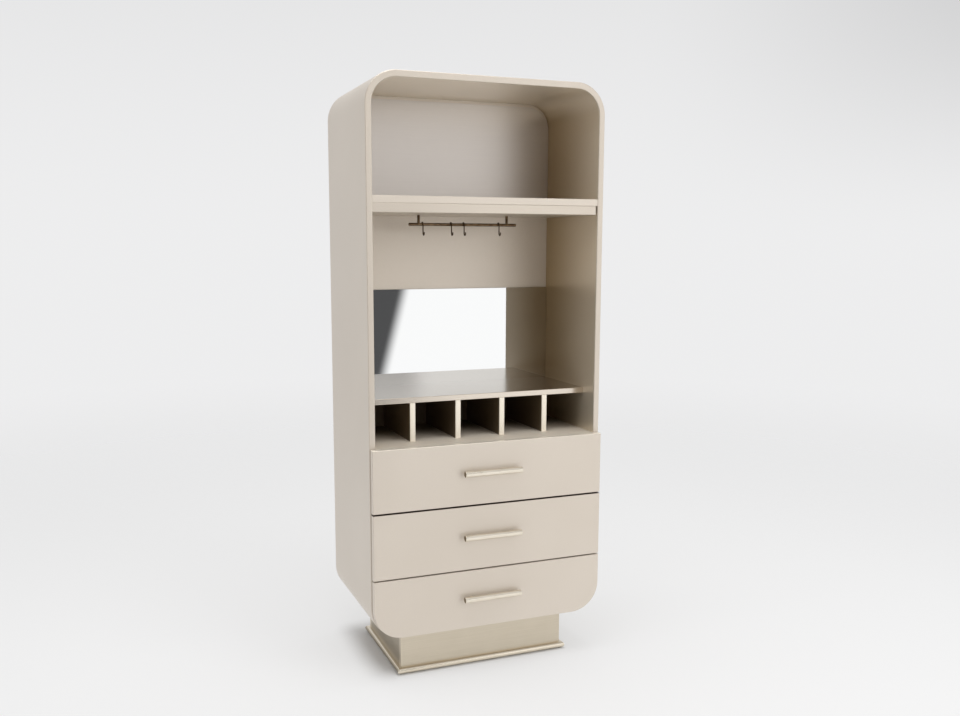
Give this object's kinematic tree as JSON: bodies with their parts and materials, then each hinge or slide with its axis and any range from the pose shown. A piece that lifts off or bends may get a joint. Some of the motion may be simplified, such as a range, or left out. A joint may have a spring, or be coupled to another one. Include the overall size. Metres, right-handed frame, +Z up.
{
  "type": "coffee bar cabinet",
  "caption": "Tall round-cornered bar cabinet: open display shelf, mirrored counter with cubbies and a hook rail, full-width drawers below, on an inset plinth.",
  "frame": {"origin": "on the floor, under the middle of the whole box, drawer handles included", "axes": "+Z up, +X to the right seen from the front, +Y from the front to the back"},
  "size_m": [0.8, 0.5106, 1.9],
  "materials": {
    "lacquer": "satin champagne metallic lacquer on board",
    "gold_lacquer": "satin champagne gold metallic coat on board",
    "grey_sheet": "satin grey sheet",
    "mirror_glass": "silvered mirror",
    "gold_metal": "brushed champagne gold",
    "bronze": "dark bronze",
    "runner_steel": "zinc plated",
    "raw_wood": "clear varnished birch",
    "glide_plastic": "matte black"
  },
  "bodies": {
    "cabinet": {"left_side_panel": "lacquer", "right_side_panel": "lacquer", "top_panel": "lacquer", "bottom_panel": "lacquer", "corner_top_left": "lacquer", "corner_top_right": "lacquer", "corner_bottom_left": "lacquer", "corner_bottom_right": "lacquer", "divider_1": "lacquer", "divider_2": "lacquer", "divider_3": "lacquer", "divider_4": "lacquer", "back_panel": "lacquer", "upper_shelf": "lacquer", "shelf_underboard": "lacquer", "bar_top": "lacquer", "drawer_deck": "lacquer", "plinth_front": "gold_lacquer", "plinth_rear": "gold_lacquer", "plinth_left": "gold_lacquer", "plinth_right": "gold_lacquer", "base_plate": "gold_lacquer", "upper_back_liner": "grey_sheet", "mirror": "mirror_glass", "casing_dowels": "raw_wood", "board_dowels": "raw_wood", "back_panel_screws": "runner_steel", "floor_glides": "glide_plastic", "rail_bar": "bronze", "rail_posts": "bronze", "runner_cabinet_members": "runner_steel"},
    "drawer_1": {"drawer_1_front": "lacquer", "drawer_1_handle": "gold_metal", "drawer_1_left_side": "raw_wood", "drawer_1_right_side": "raw_wood", "drawer_1_back": "raw_wood", "drawer_1_bottom": "raw_wood", "drawer_1_runner_members": "runner_steel"},
    "drawer_1_middle": {"drawer_1_middle_members": "runner_steel"},
    "drawer_2": {"drawer_2_front": "lacquer", "drawer_2_handle": "gold_metal", "drawer_2_left_side": "raw_wood", "drawer_2_right_side": "raw_wood", "drawer_2_back": "raw_wood", "drawer_2_bottom": "raw_wood", "drawer_2_runner_members": "runner_steel"},
    "drawer_2_middle": {"drawer_2_middle_members": "runner_steel"},
    "drawer_3": {"drawer_3_front": "lacquer", "drawer_3_handle": "gold_metal", "drawer_3_left_side": "raw_wood", "drawer_3_right_side": "raw_wood", "drawer_3_back": "raw_wood", "drawer_3_bottom": "raw_wood", "drawer_3_runner_members": "runner_steel"},
    "drawer_3_middle": {"drawer_3_middle_members": "runner_steel"},
    "hook_1": {"hook_1": "bronze"},
    "hook_2": {"hook_2": "bronze"},
    "hook_3": {"hook_3": "bronze"},
    "hook_4": {"hook_4": "bronze"}
  },
  "joints": [
    {"name": "drawer_1_slide", "type": "slide", "parent": "cabinet", "child": "drawer_1", "axis": [0, -1, 0], "range_m": [0, 0.33]},
    {"name": "drawer_1_middle_slide", "type": "slide", "parent": "cabinet", "child": "drawer_1_middle", "axis": [0, -1, 0], "range_m": [0, 0.165]},
    {"name": "drawer_2_slide", "type": "slide", "parent": "cabinet", "child": "drawer_2", "axis": [0, -1, 0], "range_m": [0, 0.33]},
    {"name": "drawer_2_middle_slide", "type": "slide", "parent": "cabinet", "child": "drawer_2_middle", "axis": [0, -1, 0], "range_m": [0, 0.165]},
    {"name": "drawer_3_slide", "type": "slide", "parent": "cabinet", "child": "drawer_3", "axis": [0, -1, 0], "range_m": [0, 0.33]},
    {"name": "drawer_3_middle_slide", "type": "slide", "parent": "cabinet", "child": "drawer_3_middle", "axis": [0, -1, 0], "range_m": [0, 0.165]},
    {"name": "hook_1_slide", "type": "slide", "parent": "cabinet", "child": "hook_1", "axis": [1, 0, 0], "range_m": [-0.0065, 0.048]},
    {"name": "hook_2_slide", "type": "slide", "parent": "cabinet", "child": "hook_2", "axis": [1, 0, 0], "range_m": [-0.048, 0.0205]},
    {"name": "hook_3_slide", "type": "slide", "parent": "cabinet", "child": "hook_3", "axis": [1, 0, 0], "range_m": [-0.0205, 0.0615]},
    {"name": "hook_4_slide", "type": "slide", "parent": "cabinet", "child": "hook_4", "axis": [1, 0, 0], "range_m": [-0.0615, 0.0245]}
  ],
  "couplings": [
    {"joint": "drawer_1_middle_slide", "follows": "drawer_1_slide", "ratio": 0.5},
    {"joint": "drawer_2_middle_slide", "follows": "drawer_2_slide", "ratio": 0.5},
    {"joint": "drawer_3_middle_slide", "follows": "drawer_3_slide", "ratio": 0.5}
  ]
}
